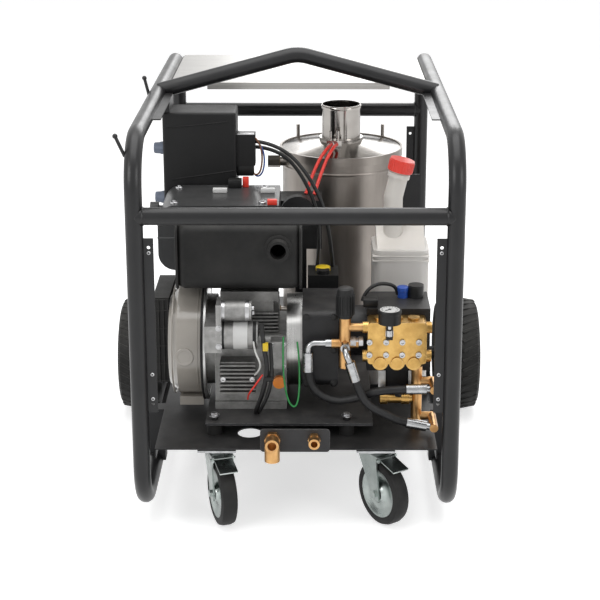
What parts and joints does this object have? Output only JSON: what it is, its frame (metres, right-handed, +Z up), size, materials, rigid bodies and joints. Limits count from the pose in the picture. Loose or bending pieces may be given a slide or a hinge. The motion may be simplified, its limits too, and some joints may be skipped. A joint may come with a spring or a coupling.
{
  "type": "hot water pressure washer",
  "caption": "Engine-driven hot-water pressure washer in a wheeled tube cage, with pump, boiler, burner, controls and detergent bottle.",
  "frame": {"origin": "on the floor under the middle of the cage", "axes": "+X to the right seen from the pump side, +Y to the back, +Z up"},
  "size_m": [1.016, 1.24, 1.08],
  "materials": {
    "black_frame": "black powder coat, satin",
    "panel_steel": "brushed stainless steel",
    "dark_plate": "dark grey paint",
    "rubber_black": "matt black rubber",
    "cast_alloy": "sand-cast, unpainted",
    "cover_grey": "light grey enamel",
    "exhaust_black": "heat-resistant matt black",
    "tank_black": "dark grey moulded",
    "machined_alloy": "turned",
    "housing_black": "black paint",
    "brass": "machined",
    "plated_steel": "bright zinc plate",
    "shaft_steel": "ground",
    "gauge_black": "moulded",
    "stainless": "rolled stainless sheet",
    "control_black": "fine grained",
    "knob_blue_grey": "moulded",
    "bottle_white": "translucent blow-moulded",
    "cap_red": "ribbed",
    "cable_red": "silicone",
    "orange_plastic": "moulded",
    "tyre_black": "moulded rubber",
    "rim_grey": "silver paint",
    "caster_steel": "zinc plate"
  },
  "bodies": {
    "trolley": {"left_side_frame": "black_frame", "right_side_frame": "black_frame", "front_crossbar": "black_frame", "rear_crossbar": "black_frame", "lifting_bar": "black_frame", "base_tray": "black_frame", "front_cross_member": "black_frame", "rear_cross_member": "black_frame", "outlet_bracket": "dark_plate", "top_panel": "panel_steel", "engine_plate": "dark_plate", "rubber_mounts": "rubber_black", "engine_crankcase": "cast_alloy", "engine_cylinder": "cast_alloy", "blower_housing": "cover_grey", "blower_guard": "exhaust_black", "exhaust_muffler": "exhaust_black", "engine_fuel_tank": "tank_black", "starter_motor": "cast_alloy", "voltage_regulator": "cast_alloy", "pto_flange": "machined_alloy", "gearbox_housing": "housing_black", "pump_crankcase": "housing_black", "pump_manifold": "brass", "valve_caps": "brass", "pressure_gauge": "gauge_black", "unloader_body": "brass", "hose_fittings": "plated_steel", "bypass_hose": "rubber_black", "pressure_hose": "rubber_black", "inlet_column": "brass", "quick_connections": "brass", "boiler_shell": "stainless", "boiler_lid": "stainless", "clamp_band": "stainless", "heating_coil": "stainless", "burner_unit": "housing_black", "fuel_pump": "gauge_black", "ignition_cables": "cable_red", "control_cables": "rubber_black", "control_box": "control_black", "detergent_bottle": "bottle_white", "bottle_bracket": "black_frame", "rear_axle": "dark_plate", "caster_plates": "caster_steel"},
    "crank": {"crankshaft": "shaft_steel"},
    "pump": {"pump_shaft": "shaft_steel"},
    "upper_dial": {"upper_control_knob": "knob_blue_grey"},
    "lower_dial": {"lower_control_knob": "knob_blue_grey"},
    "unloader_adjuster": {"unloader_knob": "gauge_black"},
    "bottle_lid": {"bottle_cap": "cap_red"},
    "tank_lid": {"fuel_cap": "tank_black"},
    "dipstick": {"oil_dipstick": "orange_plastic"},
    "left_wheel": {"left_rear_rim": "rim_grey", "left_rear_tyre": "tyre_black"},
    "right_wheel": {"right_rear_rim": "rim_grey", "right_rear_tyre": "tyre_black"},
    "left_caster": {"left_caster_fork": "caster_steel"},
    "right_caster": {"right_caster_fork": "caster_steel"},
    "left_roller": {"left_caster_wheel": "rubber_black"},
    "right_roller": {"right_caster_wheel": "rubber_black"},
    "left_pedal": {"left_brake_pedal": "caster_steel"},
    "right_pedal": {"right_brake_pedal": "caster_steel"}
  },
  "joints": [
    {"name": "crank_spin", "type": "hinge", "parent": "trolley", "child": "crank", "pos_m": [0, -0.29, 0.396], "axis": [1, 0, 0], "continuous": true},
    {"name": "pump_spin", "type": "hinge", "parent": "trolley", "child": "pump", "pos_m": [0, -0.34, 0.436], "axis": [1, 0, 0], "continuous": true},
    {"name": "upper_dial_turn", "type": "hinge", "parent": "trolley", "child": "upper_dial", "pos_m": [-0.36, -0.025, 0.822], "axis": [-1, 0, 0], "range_deg": [0, 270]},
    {"name": "lower_dial_turn", "type": "hinge", "parent": "trolley", "child": "lower_dial", "pos_m": [-0.36, -0.025, 0.691], "axis": [-1, 0, 0], "range_deg": [0, 270]},
    {"name": "unloader_turn", "type": "hinge", "parent": "trolley", "child": "unloader_adjuster", "pos_m": [0.116, -0.455, 0.54], "axis": [0, 0, 1], "range_deg": [-180, 180]},
    {"name": "bottle_lid_turn", "type": "hinge", "parent": "trolley", "child": "bottle_lid", "pos_m": [0.262, -0.15, 0.811], "axis": [0.2265, 0, 0.974], "range_deg": [0, 270]},
    {"name": "tank_lid_turn", "type": "hinge", "parent": "trolley", "child": "tank_lid", "pos_m": [-0.36, -0.2, 0.7], "axis": [-1, 0, 0], "range_deg": [0, 180]},
    {"name": "dipstick_pull", "type": "slide", "parent": "trolley", "child": "dipstick", "axis": [0, -1, 0], "range_m": [0, 0.1]},
    {"name": "left_wheel_spin", "type": "hinge", "parent": "trolley", "child": "left_wheel", "pos_m": [-0.448, 0.24, 0.16], "axis": [1, 0, 0], "continuous": true},
    {"name": "right_wheel_spin", "type": "hinge", "parent": "trolley", "child": "right_wheel", "pos_m": [0.448, 0.24, 0.16], "axis": [1, 0, 0], "continuous": true},
    {"name": "left_caster_swivel", "type": "hinge", "parent": "trolley", "child": "left_caster", "pos_m": [-0.19, -0.472, 0.15], "axis": [0, 0, 1], "continuous": true},
    {"name": "left_roller_spin", "type": "hinge", "parent": "left_caster", "child": "left_roller", "pos_m": [-0.17888, -0.50624, 0.08], "axis": [0.9511, 0.309, 0], "continuous": true},
    {"name": "left_pedal_press", "type": "hinge", "parent": "left_caster", "child": "left_pedal", "pos_m": [-0.1764, -0.51385, 0.1705], "axis": [0.9511, 0.309, 0], "range_deg": [-8, 12]},
    {"name": "right_caster_swivel", "type": "hinge", "parent": "trolley", "child": "right_caster", "pos_m": [0.19, -0.472, 0.15], "axis": [0, 0, 1], "continuous": true},
    {"name": "right_roller_spin", "type": "hinge", "parent": "right_caster", "child": "right_roller", "pos_m": [0.21065, -0.50149, 0.08], "axis": [0.8192, 0.5736, 0], "continuous": true},
    {"name": "right_pedal_press", "type": "hinge", "parent": "right_caster", "child": "right_pedal", "pos_m": [0.21524, -0.50804, 0.1705], "axis": [0.8192, 0.5736, 0], "range_deg": [-8, 12]}
  ],
  "couplings": [
    {"joint": "pump_spin", "follows": "crank_spin", "ratio": -0.45454}
  ]
}
